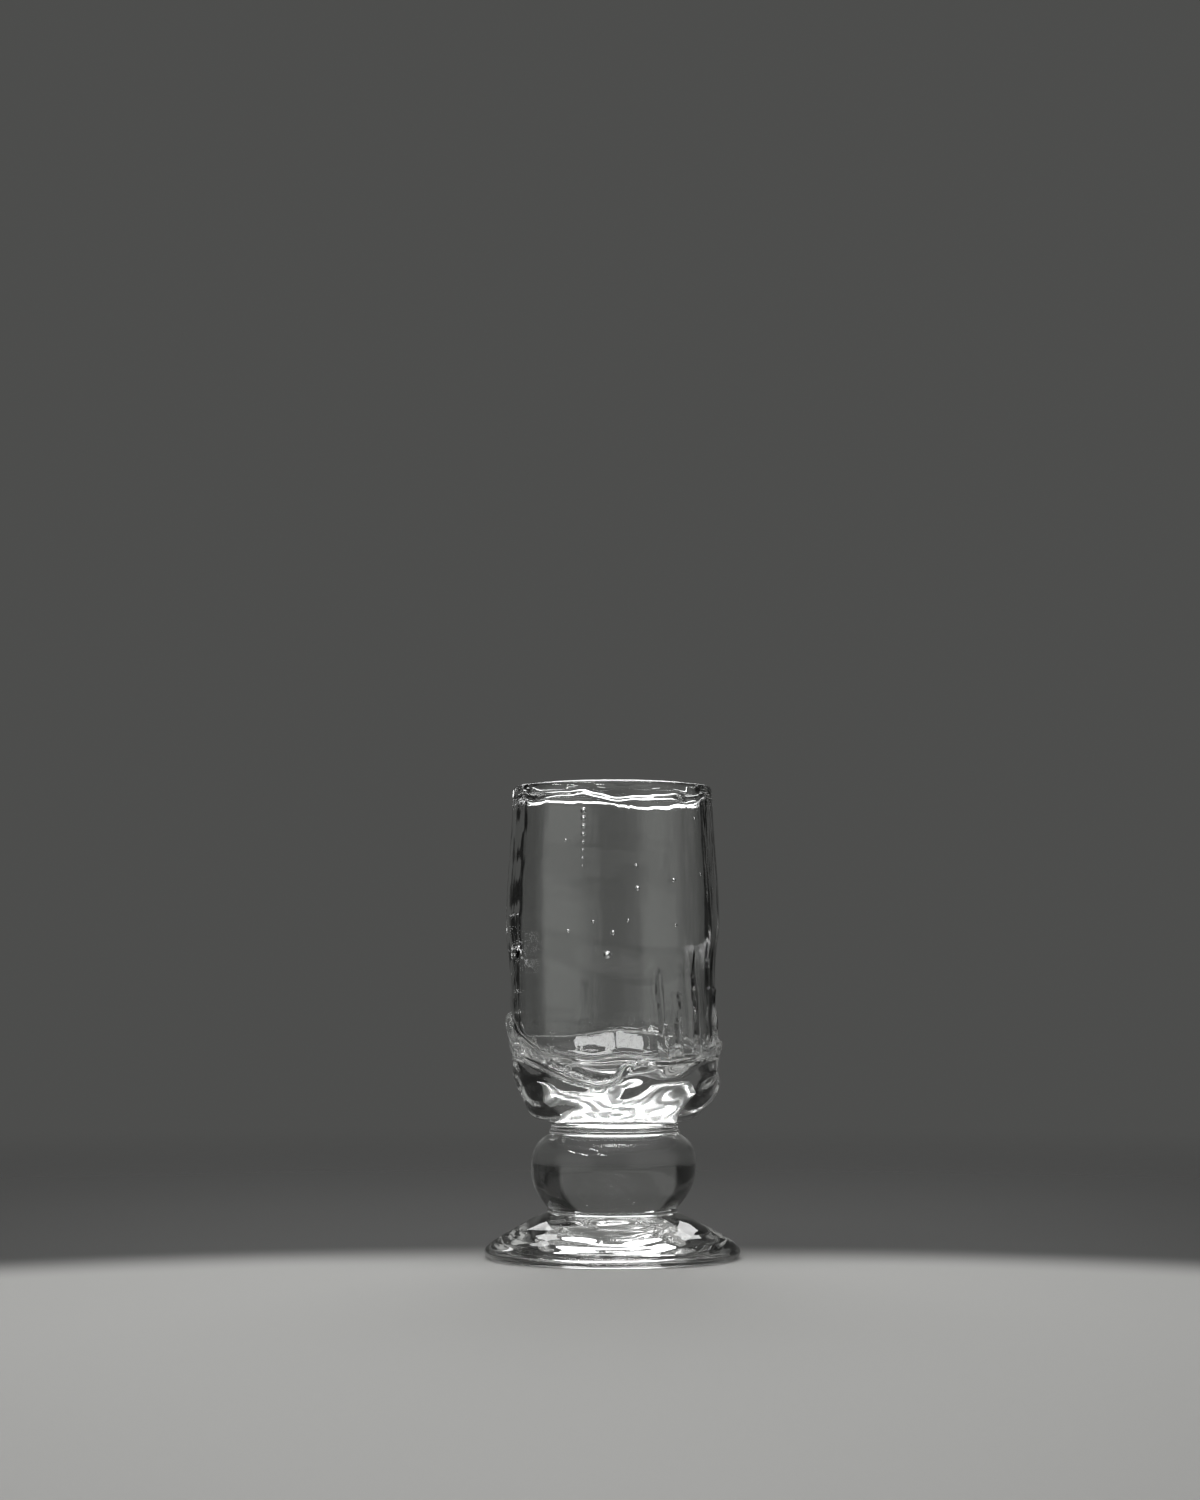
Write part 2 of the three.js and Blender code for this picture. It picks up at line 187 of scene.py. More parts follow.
# Seeds: small bubbles in the front wall, as distance to the right, height above the table and radius
SEEDS = [
    (-1.7, 89.5, 1.1), (0.0, 95.8, 0.7), (7.5, 108.5, 0.75), (7.2, 115.0, 0.6), (18.6, 111.0, 0.65),
    (-6.0, 99.0, 0.5), (4.6, 99.3, 0.5), (-13.4, 96.4, 0.5), (-14.9, 122.5, 0.45), (26.0, 129.1, 0.5),
    (27.0, 113.0, 0.45), (18.9, 98.1, 0.55),
]
# A string of seeds under the rim, from the highest and largest to the lowest and smallest
SEED_STRING = {"right": -9.4, "heights": (131.0, 115.0), "radii": (0.95, 0.3), "count": 8}
# Film: a thin, long bubble in the thick base, which slants up to the back, with ends that bend back.
# Its middle is given from the table's point under the foot, and its slope in degrees.
BASE_FILM = {"middle": (1.0, 0.6, 50.2), "half_sizes": (15.5, 3.3, 0.2), "slope": 60}
FILM_BEND = 0.011
# Streaks of the film: waves with a turn per millimetre to the right and one to the back
FILM_STREAK_HEIGHT = 0.09
FILM_STREAKS = [(1.0, 0.7, 2.4, 0), (0.4, -0.9, 4.9, 0), (0.5, 1.1, -0.8, 0)]
# The film lies flatter about a place to the left, over a width
FILM_CORE = {"right": -4.5, "width": 4.0, "flatter": 0.17}

# Lean of the bowl and jacket to the right, by height above the jacket's base
LEAN = 1.5
LEAN_BASE = 0.6
LEAN_FULL = 6.0
LEAN_END = 40.0

# Trails on the lip: bearings in degrees and radii at both ends, and waves along the way from end to end
LIP_TRAIL = {"bearings": (-93, 6.5), "radii": (1.7, 1.2)}
SIDE_TRAIL = {"bearings": (12, 80), "radii": (0.9, 1.7)}
TRAIL_SWELL = [(0.06, 31, 0, 0.4), (0.03, 67, 0, 0)]
TRAIL_SINK = 0.5
# Lumps on the two trails: bearing in degrees, height above the lip and radius
LIP_DRIPS = [
    (-52, 3.0, 1.5), (-50, 7.0, 1.2), (-40, 2.0, 1.6), (-38, 6.0, 1.3), (-36, 11.0, 0.9), (-30, 2.5, 1.4),
]
SIDE_LUMPS = [(60, 1.4, 1.9), (67, -0.8, 2.2), (73, 2.2, 1.8), (80, 0.4, 2.3), (85, 2.6, 1.5)]
# A lump higher above the lip than this sits on the wall of the bowl, a lower one on the lip
LUMP_ON_WALL = 1.0

# Tears on the wall: bearing in degrees, length, radius and sideways sway in degrees
TEARS = [(27, 25, 1.6, 1.2), (38, 17, 1.5, -1.8), (52, 29, 1.9, 2.4), (75, 15, 2.1, -2.0)]
# Shares of its radius to which a tear narrows, by which it swells and by which it lies further out.
# Its sway and its swell turn by these angles in radians along its length.
TEAR_TIP = 0.45
TEAR_SWELL = 0.18
TEAR_LIFT = 0.3
TEAR_SWAY_TURN = 5.5
TEAR_SWELL_TURN = 9

# Beads are trails, lumps and tears: share of the radius that stands proud, and room beside them in radians
BEAD_STANDOFF = 0.35
BEAD_ROOM = 0.1

# Fineness of the skins
COLUMNS = 320
FINE_ROW = 0.45
INSIDE_ROW = 1.05
# The bowl and jacket share their rows from here up: it lies just under the lowest point of the lip
SHARED_ROWS = 51.0
FINE_TOP = 96.0
THINNEST = 0.02
FOOT_HOLLOW_ROWS = 30
FOOT_EDGE_ROWS = 14
FOOT_SLOPE_ROWS = 40
LOWER_MERESE_ROWS = 12
KNOP_ROWS = 72
UPPER_LIP_ROWS = 14
UPPER_NECK_ROWS = 10
LOW_WALL_ROWS = 14
HIGH_WALL_ROWS = 35
RIM_EDGE_ROWS = 10
RIM_SLOPE_ROWS = 12
RIM_INNER_ROWS = 12
CORNER_ROWS = 44
TRAIL_POINTS = 240
TEAR_POINTS = 120
SEED_SUBDIVISIONS = 2
FILM_SUBDIVISIONS = 5
SHARP_ANGLE = math.radians(50)

BEARINGS = np.linspace(-math.pi, math.pi, COLUMNS, endpoint=False)

# Material slots of the skins
GLASS = 0
SEAM = 1
FILM = 2

# Glass: cords and ripple are a bump from noise, given as scale per metre and detail
GLASS_COLOUR = (0.985, 0.992, 0.987, 1)
GLASS_IOR = 1.5
FILM_ROUGHNESS = 0.4
CORD_STRETCH = (1, 1, 0.18)
CORD_NOISE = (210, 2)
RIPPLE_NOISE = (70, 1)
BUMP_DISTANCE = 0.0003
# The bump is strong on upright faces and faint on level ones: upward part of the normal, strength
BUMP_FACING = (0.25, 0.7)
BUMP_STRENGTH = (0.5, 0.04)
# Uneven polish: noise, the range of it that counts and the roughness it gives
POLISH_NOISE = (60, 4)
POLISH_RANGE = (0.45, 0.75)
POLISH_ROUGHNESS = (0.0, 0.04)

# Camera: metres, but the lens and its sensor in millimetres
CAMERA_PLACE = (-0.0037, -0.8675, 0.0841)
CAMERA_LENS = 70.1
CAMERA_SENSOR = 36
CAMERA_SHIFT = 0.149
CAMERA_NEAREST = 0.01

# Studio: metres
# Floor: pale in the middle, and dark further out as a painted falloff of light, so the pale middle is a
# painted pool of light
FLOOR_COLOUR = (0.34, 0.338, 0.33, 1)
FLOOR_PAINTED_FALLOFF_COLOUR = (0.045, 0.045, 0.044, 1)
FLOOR_ROUGHNESS = 0.6
FLOOR_GLOSS = 0.1
FLOOR_FORWARD = 0.33
# The painted falloff of light darkens the floor between the first two distances from its middle, and the
# floor fades out between the next two
FLOOR_PAINTED_FALLOFF = (0.31, 0.375)
FLOOR_FADE = (0.5, 1.1)
FLOOR_DROP = 0.0001
FLOOR_SIDES = 96
# Light from around: bearing and elevation of its middle, inner and outer half width in degrees, strength
SURROUNDINGS = [
    (184, 4, 30, 34, 0.066),
    (0, 6, 15, 60, 0.1),
    (-60, 8, 6, 38, 0.5),
    (62, 8, 14, 52, 0.5),
    (0, 90, 25, 60, 0.18),
]
SURROUNDINGS_LEAST = 0.008
SURROUNDINGS_COLOUR = (1, 1.01, 0.98, 1)
LAMP_AIM = (0, 0, 0.07)
TOP_LAMP = {"place": (0.0, -0.05, 0.95), "size": (0.85, 0.17), "brightness": 12}
BACK_LAMP = {"place": (0.0, 0.82, 0.67), "size": (0.8, 0.4), "brightness": 3.4}
# Small lamps: bearings and elevations in degrees
SPARK_LAMPS = [(-45, 58), (-76, 40), (-50, 36), (-20, 38)]
SPARK_DISTANCE = 1.3
SPARK = {"size": (0.3, 0.06), "brightness": 25, "roll": -25}

# How often light is followed through glass, off it and through the seams
GLASS_BOUNCES = 48
GLOSSY_BOUNCES = 16
SEAM_BOUNCES = 64


def smoothstep(value, low, high):
    """From 0 at a low value to 1 at a high one, level at both ends."""
    share = np.clip((np.asarray(value, dtype=float) - low) / (high - low), 0, 1)
    return share * share * (3 - 2 * share)


def waves(rows, bearing, height=0):
    """Sum of waves that are given as size, times round, turn per millimetre of height and phase."""
    return sum(size * np.sin(times * bearing + rise * height + phase) for size, times, rise, phase in rows)


def waver(bearing, height, size, phase):
    """Slow unevenness of hand-worked glass, up to a size either way."""
    rows = [(share, times, rise, factor * phase) for share, times, rise, factor in SLOW_WAVES]
    return size * waves(rows, bearing, height)


def level_rings(bearing, height, size, rise, bends, phase=0):
    """Rings one above the other, bent up and down on their way round."""
    return size * np.sin(rise * height + phase + waves(bends, bearing))


def corner_radius(land, full, corner, height):
    """Radius at a height on a corner that rounds out from a flat land to its full radius."""
    drop = (corner - np.clip(height, 0, corner)) / corner
    return land + (full - land) * np.sqrt(1 - drop * drop)


def corner_heights(corner, count):
    """Heights that crowd together towards the flat end of a rounded corner."""
    return corner * (1 - np.cos(np.linspace(0, math.pi / 2, count)))


def lean(height):
    """How far the axis lies to the right at a height above the table."""
    above = np.asarray(height, dtype=float) - JACKET_BASE
    stem = LEAN_BASE * smoothstep(above, KNOP_BASE - JACKET_BASE, 0)
    rise = (LEAN - LEAN_BASE) * smoothstep(above, 0, LEAN_FULL)
    return stem + rise - LEAN * smoothstep(above, LEAN_FULL, LEAN_END)


def around(points, bearing):
    """Smooth closed curve through points of bearing in degrees and value, at bearings in radians."""
    known = np.array(points, dtype=float)
    places = np.concatenate([known[:, 0] - 360, known[:, 0], known[:, 0] + 360])
    values = np.tile(known[:, 1], 3)
    slopes = np.gradient(values, places)
    wanted = np.degrees(np.asarray(bearing, dtype=float))
    before = np.clip(np.searchsorted(places, wanted, side="right") - 1, 0, len(places) - 2)
    after = before + 1
    step = places[after] - places[before]
    t = (wanted - places[before]) / step
    start = values[before] * (1 + 2 * t) * (1 - t) ** 2 + slopes[before] * step * t * (1 - t) ** 2
    end = values[after] * t * t * (3 - 2 * t) + slopes[after] * step * t * t * (t - 1)
    return start + end


def turn_from(bearing, centre):
    """Angle from a centre bearing in degrees to bearings in radians, the short way round."""
    return (bearing - math.radians(centre) + math.pi) % (2 * math.pi) - math.pi


def bulge_radius(full, end, reach, curve, distance):
    """Radius at a distance from the widest level of a bulge that narrows to its end radius at its reach."""
    last = (1 - (end / full) ** curve) ** (1 / curve)
    return full * (1 - (last * distance / reach) ** curve) ** (1 / curve)


def spots(radius, height):
    """Points of whole rings about the leaning axis: rows of radii and heights, one per bearing."""
    radius, height = np.broadcast_arrays(radius, height)
    x = lean(height) + radius * np.sin(BEARINGS)
    y = -radius * np.cos(BEARINGS)
    return np.stack([x, y, height], axis=-1)


def quad_corners(grid):
    """Values of a grid at the four corners of each quad, on rows that are closed on themselves."""
    beside = np.roll(grid, -1, axis=1)
    return np.stack([grid[:-1], beside[:-1], beside[1:], grid[1:]], axis=-1)


class Skin:
    """A closed mesh put together from rows of points that run round the axis."""

    def __init__(self):
        self.points = []
        self.faces = []
        self.slots = []

    def add_points(self, points):
        """Numbers of new points, in the same rows as the points."""
        first = len(self.points)
        flat = np.asarray(points).reshape(-1, 3)
        self.points.extend(map(tuple, flat))
        return np.arange(first, len(self.points)).reshape(np.shape(points)[:-1])

    def add_quads(self, numbers, slots, flip=False, wanted=None, first=0):
        """Quads between rows of point numbers, each row closed on itself, split from their first corner."""
        turn = np.broadcast_to(first, (len(numbers) - 1, numbers.shape[1]))[..., None] + np.arange(4)
        quads = np.take_along_axis(quad_corners(numbers), turn % 4, axis=-1)
        slots = np.broadcast_to(slots, quads.shape[:2])
        if wanted is not None:
            quads, slots = quads[wanted], slots[wanted]
        quads = quads.reshape(-1, 4)
        if flip:
            quads = np.roll(quads[:, ::-1], 1, axis=1)
        self.faces.extend(map(tuple, quads.tolist()))
        self.slots.extend(np.asarray(slots).ravel().tolist())

    def add_fan(self, ring, height, slot, up):
        """Triangles from a ring of point numbers to the point of the axis at a height."""
        pole = int(self.add_points([lean(height), 0, height]))
        for a, b in zip(ring.tolist(), np.roll(ring, -1).tolist()):
            self.faces.append((a, b, pole) if up else (b, a, pole))
            self.slots.append(slot)

    def make(self, name, materials):
        """The finished object, in metres, without the points that no face uses."""
        used = sorted({i for face in self.faces for i in face})
        place = {old: new for new, old in enumerate(used)}
        points = [tuple(c * MM for c in self.points[i]) for i in used]
        faces = [tuple(place[i] for i in face) for face in self.faces]
        mesh = bpy.data.meshes.new(name)
        mesh.from_pydata(points, [], faces)
        for material in materials:
            mesh.materials.append(material)
        mesh.polygons.foreach_set("material_index", self.slots)
        mesh.polygons.foreach_set("use_smooth", [True] * len(faces))
        mesh.set_sharp_from_angle(angle=SHARP_ANGLE)
        mesh.validate()
        piece = bpy.data.objects.new(name, mesh)
        bpy.context.scene.collection.objects.link(piece)
        return piece


def turned(outline, wobble, bottom_slot=SEAM):
    """Skin of a solid turned from an outline of (radius, height), closed with discs at its ends.

    The wobble gives the unevenness of the radius and of the height.
    """
    radius = np.array([r for r, _ in outline])[:, None]
    height = np.array([z for _, z in outline])[:, None]
    outward, upward = wobble(radius, height)
    skin = Skin()
    numbers = skin.add_points(spots(radius + outward, height + upward))
    skin.add_quads(numbers, GLASS)
    skin.add_fan(numbers[0], outline[0][1], bottom_slot, up=False)
    skin.add_fan(numbers[-1], outline[-1][1], SEAM, up=True)
    return skin


def arc(centre, radii, start, end, count):
    """Points of an ellipse's arc between two angles, both ends included."""
    angles = np.linspace(start, end, count)
    return [(centre[0] + radii[0] * math.cos(a), centre[1] + radii[1] * math.sin(a)) for a in angles]


def bezier(start, control, end, count):
    """Points of a quadratic curve, both ends included."""
    start, control, end = map(np.array, (start, control, end))
    shares = np.linspace(0, 1, count)
    curve = [(1 - t) ** 2 * start + 2 * t * (1 - t) * control + t * t * end for t in shares]
    return [tuple(point) for point in curve]


def stem_wobble(size, phase):
    """Unevenness of a stem piece that fades out at the welds on both its ends."""

    def wobble(radius, height):
        room = np.minimum(height - height[0], height[-1] - height)
        return smoothstep(room, 0, STEM_FADE) * waver(BEARINGS, height, size, phase), 0

    return wobble


def foot_wobble(radius, height):
    """Ripples on the slope of the foot and in the hollow under it; the standing ring stays flat."""
    slope = smoothstep(height, *FOOT_RIPPLE_START) * smoothstep(FOOT_TOP - height, 0, FOOT_RIPPLE_END)
    slow = waver(BEARINGS, FOOT_QUICKER * height, *FOOT_WAVER)
    rings = level_rings(BEARINGS, height, **FOOT_RINGS)
    outward = slope * (slow + rings + waves(FOOT_SWIRL, BEARINGS, height))
    ring_in = FOOT_RADIUS - FOOT_EDGE_ROUNDING - STANDING_RING_WIDTH
    under = np.where(height < HOLLOW_TOP, smoothstep(ring_in - radius, 0, HOLLOW_START), 0)
    under = under * smoothstep(radius, PONTIL_RADIUS, PONTIL_RADIUS + HOLLOW_END)
    slow_under = waver(BEARINGS, FOOT_QUICKER * radius, *HOLLOW_WAVER)
    return outward, under * (slow_under + level_rings(BEARINGS, radius, **HOLLOW_RINGS))


def foot_skin():
    """Low cone on a standing ring, with a shallow hollow and the pontil mark under it."""
    rounding = FOOT_EDGE_ROUNDING
    ring_out = FOOT_RADIUS - rounding
    ring_in = ring_out - STANDING_RING_WIDTH
    pontil = [(PONTIL_RADIUS - 2 * PONTIL_DEPTH, FOOT_KICK + PONTIL_DEPTH)]
    kick = (ring_in - FOOT_KICK_RISE, FOOT_KICK)
    hollow = bezier((PONTIL_RADIUS, FOOT_KICK), kick, (ring_in, 0), FOOT_HOLLOW_ROWS)
    edge = arc((ring_out, rounding), (rounding, rounding), -math.pi / 2, FOOT_EDGE_ROLL, FOOT_EDGE_ROWS)
    shoulder = np.array(edge[-1])
    top = np.array((STEM_RADIUS, FOOT_TOP))
    swollen = (shoulder + top) / 2 + np.array((FOOT_SWELL, 2 * FOOT_SWELL))
    slope = bezier(shoulder, swollen, top, FOOT_SLOPE_ROWS)
    return turned(pontil + hollow + edge + slope[1:], foot_wobble, bottom_slot=GLASS)


def lower_merese_skin():
    """Thin wafer with a rounded edge."""
    rounding = (KNOP_BASE - FOOT_TOP) / 2
    middle = (STEM_RADIUS, FOOT_TOP + rounding)
    radii = (LOWER_MERESE_OVERHANG, rounding)
    outline = arc(middle, radii, -math.pi / 2, math.pi / 2, LOWER_MERESE_ROWS)
    return turned(outline, stem_wobble(*LOWER_MERESE_WAVER))


def knop_skin():
    """Flattened ball."""
    below = KNOP_WIDEST - KNOP_BASE
    above = KNOP_TOP - KNOP_WIDEST
    outline = []
    for height in np.linspace(KNOP_BASE, KNOP_TOP, KNOP_ROWS):
        away = height - KNOP_WIDEST
        reach, curve = (below, KNOP_LOWER_CURVE) if away < 0 else (above, KNOP_UPPER_CURVE)
        outline.append((bulge_radius(KNOP_RADIUS, STEM_RADIUS, reach, curve, abs(away)), height))
    return turned(outline, stem_wobble(*KNOP_WAVER))


def upper_merese_skin():
    """Rounded lip on the knop, and the neck that flares from it to the jacket."""
    rounding = UPPER_MERESE_LIP / 2
    middle = (STEM_RADIUS, KNOP_TOP + rounding)
    radii = (JACKET_BASE_RADIUS - UPPER_MERESE_INSET - STEM_RADIUS, rounding)
    lip = arc(middle, radii, -math.pi / 2, math.pi / 2, UPPER_LIP_ROWS)
    neck_end = (JACKET_BASE_RADIUS, JACKET_BASE)
    neck = bezier(lip[-1], (STEM_RADIUS, JACKET_BASE), neck_end, UPPER_NECK_ROWS)
    return turned(lip + neck[1:], stem_wobble(*UPPER_MERESE_WAVER))


def bowl_radius(bearing, height):
    """Outside of the bowl at heights above the table, with the unevenness of hand work."""
    above = height - BOWL_BASE
    swell = smoothstep(above + waves(BOWL_DRIFT, bearing), BOWL_WAIST_TOP, BOWL_BELLY_BOTTOM)
    corner = corner_radius(BOWL_BASE_RADIUS, BOWL_WAIST_RADIUS, BOWL_CORNER, above)
    taper = smoothstep(above, BOWL_BELLY_TOP, RIM_TOP - BOWL_BASE)
    smooth = (
        corner
        + (BOWL_BELLY_RADIUS - BOWL_WAIST_RADIUS) * swell
        - (BOWL_BELLY_RADIUS - BOWL_RIM_RADIUS) * taper
    )
    return smooth + smoothstep(above, 0, BOWL_CORNER) * waver(bearing, height, *BOWL_WAVER)


def ripples(bearing, height):
    """Level ripples on the inside, strongest on the left."""
    share = RIPPLE_LEAST + (1 - RIPPLE_LEAST) * np.clip(-np.sin(bearing), 0, 1) ** 2
    long = level_rings(bearing, height, **LONG_RIPPLES)
    short = level_rings(bearing, height, **SHORT_RIPPLES) * np.sin(SHORT_RIPPLE_BEAT * height)
    return share * (long + short)


def thumb_mark_depth(bearing, height):
    """Round swelling low inside the back wall."""
    across = CAVITY_RADIUS * turn_from(bearing, THUMB_MARK["bearing"])
    off = np.hypot(across, height - THUMB_MARK["height"]) / THUMB_MARK["radius"]
    return THUMB_MARK["depth"] * np.clip(1 - off * off, 0, 1)


def rim_bead_depth(bearing, height):
    """Bead that the fire polish left inside the rim, with an uneven lower edge and faint ripples."""
    over = height - (RIM_TOP - RIM_BEAD_HEIGHT - waves(RIM_BEAD_EDGE, bearing))
    bead = RIM_BEAD_DEPTH * smoothstep(over, -RIM_BEAD_STEP, RIM_BEAD_STEP)
    ripple = level_rings(bearing, RIM_TOP - height, **RIM_RIPPLES)
    broad, fine = (waves([row], bearing) for row in RIM_PATCHES)
    patches = (1 + broad * fine) / 2
    return bead + ripple * patches * smoothstep(over, -RIM_RIPPLE_START, 0)


def flattened(radius, bearing, height):
    """Radii of the hollow, cut short by the slanting flats in its back corner."""
    for facing, slope, middle, distance in FLATS:
        across = np.clip(np.cos(turn_from(bearing, facing)), FLAT_LEAST, 1)
        flat = (distance + (height - middle) / math.tan(math.radians(slope))) / across
        room = np.clip(0.5 + (radius - flat) / (2 * FLAT_BLEND), 0, 1)
        radius = radius + (np.minimum(radius, flat) - radius) * room
    return radius


def cavity_radius(bearing, height):
    """Inside of the bowl at heights above the table, with faint upright ribs from the blowing."""
    above = height - BOWL_BASE
    top = CAVITY_FLOOR + CAVITY_CORNER
    climb = np.clip((above - top) / (RIM_TOP - BOWL_BASE - top), 0, None)
    mouth = BOWL_RIM_RADIUS - BOWL_RIM_THICKNESS
    corner = around(CORNER, bearing)
    smooth = corner_radius(CAVITY_LAND_RADIUS, CAVITY_RADIUS, corner, above - CAVITY_FLOOR)
    smooth = flattened(smooth - (CAVITY_RADIUS - mouth) * climb**2, bearing, height)
    fade = smoothstep(above, CAVITY_FLOOR, top)
    ribs = waves(CAVITY_RIBS, bearing, height)
    uneven = waver(bearing, height, *CAVITY_WAVER) + ribs + ripples(bearing, height)
    marks = thumb_mark_depth(bearing, height) + rim_bead_depth(bearing, height)
    return smooth + fade * uneven - marks


def lip_height(bearing):
    """Height of the jacket's lip above the table."""
    return JACKET_BASE + around(LIP, bearing)


def jacket_cup(bearing, height):
    """Outside of the jacket at heights above the table, uneven where the thick glass ran while hot."""
    cup = corner_radius(JACKET_BASE_RADIUS, JACKET_RADIUS, JACKET_SHOULDER, height - JACKET_BASE)
    under_lip = smoothstep(lip_height(bearing) - height, *FLOW_UNDER_LIP)
    over_base = smoothstep(height, JACKET_BASE, JACKET_BASE + FLOW_OVER_BASE)
    return cup + under_lip * over_base * waves(JACKET_FLOW, bearing, height)


def jacket_thickness(bearing, height, wall):
    """Glass of the jacket outside the wall of the bowl: it rounds off to nothing at the lip."""
    thick = np.maximum(jacket_cup(bearing, height) - wall, JACKET_EDGE)
    room = np.clip((lip_height(bearing) - height) / JACKET_EDGE_ROUNDING, 0, 1)
    return thick * np.sqrt(1 - (1 - room) ** 2)


def lip_edge(bearing):
    """Outside of the jacket at its lip."""
    lip = lip_height(bearing)
    return np.maximum(jacket_cup(bearing, lip), bowl_radius(bearing, lip) + JACKET_EDGE)


def bead_radius(path, bearing, height):
    """Outside of a bead of glass that lies along a path on the wall, and nothing beside it.

    The path is rows of bearing, height, radius of the bead's middle and radius of the bead.
    """
    reach = np.max(path[:, 3])
    result = np.zeros(np.broadcast(bearing, height).shape)
    bearing, height = np.broadcast_arrays(bearing, height)
    near = (height > path[:, 1].min() - reach) & (height < path[:, 1].max() + reach)
    near &= (bearing > path[:, 0].min() - BEAD_ROOM) & (bearing < path[:, 0].max() + BEAD_ROOM)
    along = (bearing[near][:, None] - path[:, 0]) * np.mean(path[:, 2])
    rise = height[near][:, None] - path[:, 1]
    apart = np.hypot(along, rise)
    bulge = path[:, 2] + np.sqrt(np.clip(path[:, 3] ** 2 - apart**2, 0, None))
    result[near] = np.where(apart < path[:, 3], bulge, 0).max(axis=1)
    return result


def bead_path(bearing, height, under, radius):
    """Rows for a bead that is sunk into the surface under it and stands proud of it by its standoff."""
    return np.stack([bearing, height, under - (1 - BEAD_STANDOFF) * radius, radius], axis=1)


def trail_path(trail):
    """Path of a trail along the outer edge of the jacket's lip."""
    share = np.linspace(0, 1, TRAIL_POINTS)
    bearing = np.radians(np.interp(share, (0, 1), trail["bearings"]))
    radius = np.interp(share, (0, 1), trail["radii"]) * (1 + waves(TRAIL_SWELL, share))
    height = lip_height(bearing) + BEAD_STANDOFF * radius - TRAIL_SINK
    return bead_path(bearing, height, lip_edge(bearing), radius)


def lumps_path(lumps):
    """Rows for single lumps on the lip or on the wall above it."""
    bearing, above_lip, radius = np.array(lumps, dtype=float).T
    bearing = np.radians(bearing)
    height = lip_height(bearing) + above_lip
    under = np.where(above_lip > LUMP_ON_WALL, bowl_radius(bearing, height), lip_edge(bearing))
    return bead_path(bearing, height, under, radius)


def tear_path(bearing, length, radius, sway):
    """Path of a tear up the wall from just above the side trail."""
    share = np.linspace(0, 1, TEAR_POINTS)
    foot = math.radians(bearing)
    path = foot + math.radians(sway) * np.sin(TEAR_SWAY_TURN * share) * share
    height = lip_height(foot) + SIDE_TRAIL["radii"][1] + share * length
    swell = TEAR_SWELL * np.sin(TEAR_SWELL_TURN * share + sway)
    width = radius * (1 - (1 - TEAR_TIP) * share + swell)
    return bead_path(path, height, bowl_radius(path, height) + TEAR_LIFT * width, width)


def covered_quads(grown):
    """Quads of the wall's grid that have at least one covered point."""
    return quad_corners(grown).any(axis=-1)


def without_pinches(grown):
    """Covered points of the wall, and those that keep two arms from touching along a single edge."""
    while True:
        on = covered_quads(grown)
        upright = ~grown[:-1] & ~grown[1:] & on & np.roll(on, 1, axis=1)
        lying = ~grown[1:-1] & ~np.roll(grown, -1, axis=1)[1:-1] & on[:-1] & on[1:]
        if not upright.any() and not lying.any():
            return grown
        grown = grown.copy()
        grown[:-1] |= upright
        grown[1:-1] |= lying


class Wall:
    """The wall of the bowl and what is laid on it, layer by layer, on one grid of rows and columns."""

    def __init__(self, radius, height):
        self.radius = radius
        self.height = height
        self.layers = []
        # Number of the piece that lies on top, and the material slots of each piece: 0 is the bowl
        self.owner = np.zeros((len(height) - 1, COLUMNS), dtype=int)
        self.slots = [np.full(self.owner.shape, GLASS)]

    def lay(self, radius, height=None):
        """Lay one more piece on the wall: the radii of its outside, and its heights where they differ."""
        height = self.height if height is None else height
        thick = (radius - self.radius > THINNEST) | (np.abs(height - self.height) > THINNEST)
        grown = without_pinches(thick)
        over = np.where(thick, radius, np.where(grown, self.radius + THINNEST, self.radius))
        on = covered_quads(grown)
        for number in np.unique(self.owner[on]):
            covered = on & (self.owner == number)
            self.slots[number][covered] = SEAM
        self.owner[on] = len(self.slots)
        self.slots.append(np.full(self.owner.shape, GLASS))
        self.layers.append((grown, on, spots(self.radius, self.height), spots(over, height)))
        self.radius = over
        self.height = np.where(grown, height, self.height)

    def skin(self, number):
        """Closed skin of one laid piece, which meets what is under it in the same faces."""
        grown, on, under, over = self.layers[number - 1]
        skin = Skin()
        inner = skin.add_points(under)
        outer = np.where(grown, skin.add_points(over), inner)
        first = quad_corners(grown).argmax(axis=-1)
        skin.add_quads(outer, self.slots[number], wanted=on, first=first)
        skin.add_quads(inner, SEAM, flip=True, wanted=on, first=first)
        return skin, inner, outer


def wall_rows():
    """Heights of the rows up the outside, first of the bowl and then of the jacket."""
    corner = corner_heights(1, 2 * LOW_WALL_ROWS)[:LOW_WALL_ROWS]
    corner = corner / corner[-1]
    fine = np.arange(SHARED_ROWS, FINE_TOP, FINE_ROW)[1:]
    coarse = np.linspace(FINE_TOP, RIM_TOP - RIM_OUTER_ROUNDING, HIGH_WALL_ROWS)
    shared = np.concatenate([fine, coarse])
    bowl = np.concatenate([BOWL_BASE + corner * (SHARED_ROWS - BOWL_BASE), shared])
    jacket = np.concatenate([JACKET_BASE + corner * (SHARED_ROWS - JACKET_BASE), shared])
    return bowl[:, None], jacket[:, None]


def rim_outline():
    """Outer half of the rim, from the wall to the crown: inset from the outside and drop below the top."""
    edge = RIM_EDGE_WIDTH * (1 - np.cos(np.linspace(0, math.pi / 2, RIM_EDGE_ROWS)[1:]))
    slope = np.linspace(RIM_EDGE_WIDTH, RIM_OUTER_ROUNDING, RIM_SLOPE_ROWS)[1:]
    inset = np.concatenate([edge, slope])[:, None]
    corner = np.sqrt(1 - np.clip(1 - inset / RIM_EDGE_WIDTH, 0, 1) ** 2)
    drop = (RIM_OUTER_ROUNDING - RIM_SLOPE) * (1 - corner)
    return inset, drop + RIM_SLOPE * (1 - inset / RIM_OUTER_ROUNDING) ** RIM_SLOPE_CURVE


